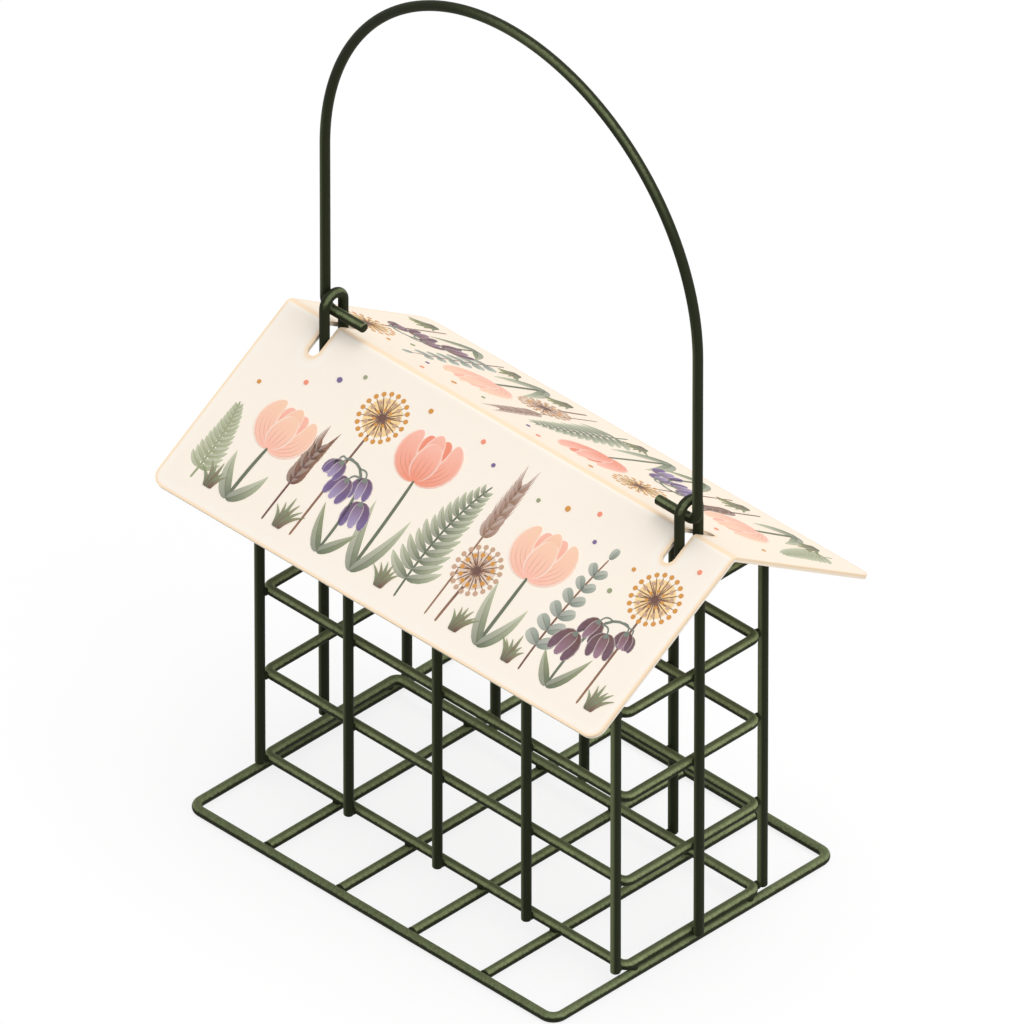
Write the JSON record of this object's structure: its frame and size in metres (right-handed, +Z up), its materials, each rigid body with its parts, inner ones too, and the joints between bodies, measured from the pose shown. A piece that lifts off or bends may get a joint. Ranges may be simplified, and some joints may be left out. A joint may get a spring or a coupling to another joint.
{
  "type": "suet feeder",
  "caption": "Hanging suet feeder: a welded wire cage on a wire tray, under a folded sheet roof with slots for two wire loops, and a swinging wire bail hooked through the loops.",
  "frame": {"origin": "on the ground, under the middle of the tray", "axes": "+Z up, X along the cage's long side and the roof's ridge, Y from the front to the back"},
  "size_m": [0.1616, 0.104, 0.2559],
  "materials": {
    "wire_coat": "satin dark olive green coat on steel wire",
    "roof_enamel": "satin cream enamel on sheet steel, with a peach band along the edges and a printed plant design"
  },
  "bodies": {
    "cage": {"tray_frame": "wire_coat", "tray_cross_wire_1": "wire_coat", "tray_cross_wire_2": "wire_coat", "tray_cross_wire_3": "wire_coat", "tray_cross_wire_4": "wire_coat", "cage_ring_1": "wire_coat", "cage_ring_2": "wire_coat", "cage_ring_3": "wire_coat", "cage_ring_4": "wire_coat", "cage_ring_5": "wire_coat", "front_upright_1": "wire_coat", "front_upright_2": "wire_coat", "front_upright_3": "wire_coat", "front_upright_4": "wire_coat", "front_upright_5": "wire_coat", "rear_upright_1": "wire_coat", "rear_upright_2": "wire_coat", "rear_upright_3": "wire_coat", "rear_upright_4": "wire_coat", "rear_upright_5": "wire_coat", "left_end_upright": "wire_coat", "right_end_upright": "wire_coat", "left_hanger_loop": "wire_coat", "right_hanger_loop": "wire_coat"},
    "roof": {"roof": "roof_enamel"},
    "bail": {"bail": "wire_coat"}
  },
  "joints": [
    {"name": "bail_swing", "type": "hinge", "parent": "cage", "child": "bail", "pos_m": [0, 0, 0.13408], "axis": [1, 0, 0], "range_deg": [-122, 122]},
    {"name": "roof_lift", "type": "slide", "parent": "cage", "child": "roof", "axis": [0, 0, 1], "range_m": [0, 0.002]}
  ]
}
